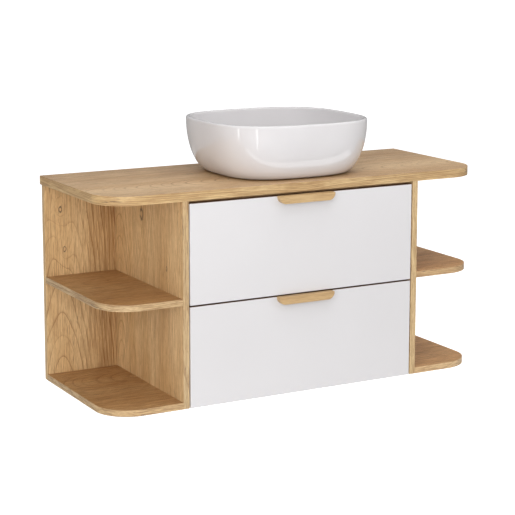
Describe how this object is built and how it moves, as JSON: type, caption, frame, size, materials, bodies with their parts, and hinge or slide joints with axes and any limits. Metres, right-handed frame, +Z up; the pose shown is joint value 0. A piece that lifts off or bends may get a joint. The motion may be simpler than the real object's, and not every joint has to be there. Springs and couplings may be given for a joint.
{
  "type": "bathroom vanity with vessel basin",
  "caption": "Wall-hung bathroom vanity: oak worktop with a vessel basin, white drawers with oak pulls, open corner shelves at both ends, waste and bottle trap.",
  "frame": {"origin": "centre of the back face of the upper back rail, on the wall plane and the cabinet's centre line", "axes": "+X along the width to the right, +Y towards the wall, +Z up; the drawers open towards -Y"},
  "size_m": [1.2, 0.4773, 0.753],
  "materials": {
    "oak": "natural oak decor, matt lacquer",
    "white_lacquer": "smooth white satin lacquer on board",
    "box_board": "pale grey melamine-faced board",
    "zinc_steel": "zinc-plated sheet steel",
    "glazed_ceramic": "white gloss glaze",
    "chrome": "polished chrome plate",
    "white_plastic": "moulded white plastic",
    "black_rubber": "matt black rubber"
  },
  "bodies": {
    "vanity": {"worktop": "oak", "cabinet_side_left": "oak", "cabinet_side_right": "oak", "shelf_back_left": "oak", "shelf_back_right": "oak", "shelf_middle_left": "oak", "shelf_middle_right": "oak", "shelf_bottom_left": "oak", "shelf_bottom_right": "oak", "cabinet_bottom": "oak", "front_rail": "oak", "back_rail_lower": "oak", "back_rail_upper": "oak", "hanger_left": "zinc_steel", "hanger_right": "zinc_steel", "wall_plate_left": "zinc_steel", "wall_plate_right": "zinc_steel", "upper_runner_cabinet_left": "zinc_steel", "upper_runner_cabinet_right": "zinc_steel", "lower_runner_cabinet_left": "zinc_steel", "lower_runner_cabinet_right": "zinc_steel", "basin": "glazed_ceramic", "waste_body": "chrome", "plug_guide": "chrome", "trap_inlet_nut": "chrome", "trap_body": "chrome", "trap_cup": "chrome", "trap_outlet_nut": "chrome", "outlet_pipe": "chrome", "wall_rosette": "chrome", "waste_backnut": "white_plastic", "basin_seal": "black_rubber", "waste_washer": "black_rubber"},
    "drawer_upper": {"upper_drawer_front": "white_lacquer", "upper_drawer_handle": "oak", "upper_drawer_side_left": "box_board", "upper_drawer_side_right": "box_board", "upper_drawer_bottom": "box_board", "upper_runner_drawer_left": "zinc_steel", "upper_runner_drawer_right": "zinc_steel", "upper_drawer_inner_front": "box_board", "upper_drawer_cheek_left": "box_board", "upper_drawer_cheek_right": "box_board", "upper_drawer_back_left": "box_board", "upper_drawer_back_right": "box_board"},
    "drawer_lower": {"lower_drawer_front": "white_lacquer", "lower_drawer_handle": "oak", "lower_drawer_side_left": "box_board", "lower_drawer_side_right": "box_board", "lower_drawer_bottom": "box_board", "lower_runner_drawer_left": "zinc_steel", "lower_runner_drawer_right": "zinc_steel", "lower_drawer_back": "box_board"},
    "runner_middle_upper": {"upper_runner_middle_left": "zinc_steel", "upper_runner_middle_right": "zinc_steel"},
    "runner_middle_lower": {"lower_runner_middle_left": "zinc_steel", "lower_runner_middle_right": "zinc_steel"},
    "plug": {"waste_plug": "chrome", "plug_seal": "black_rubber"}
  },
  "joints": [
    {"name": "drawer_upper_slide", "type": "slide", "parent": "vanity", "child": "drawer_upper", "axis": [0, -1, 0], "range_m": [0, 0.37]},
    {"name": "drawer_lower_slide", "type": "slide", "parent": "vanity", "child": "drawer_lower", "axis": [0, -1, 0], "range_m": [0, 0.37]},
    {"name": "runner_middle_upper_slide", "type": "slide", "parent": "vanity", "child": "runner_middle_upper", "axis": [0, -1, 0], "range_m": [0, 0.185]},
    {"name": "runner_middle_lower_slide", "type": "slide", "parent": "vanity", "child": "runner_middle_lower", "axis": [0, -1, 0], "range_m": [0, 0.185]},
    {"name": "plug_slide", "type": "slide", "parent": "vanity", "child": "plug", "axis": [0, 0, 1], "range_m": [0, 0.009]}
  ],
  "couplings": [
    {"joint": "runner_middle_upper_slide", "follows": "drawer_upper_slide", "ratio": 0.5},
    {"joint": "runner_middle_lower_slide", "follows": "drawer_lower_slide", "ratio": 0.5}
  ]
}
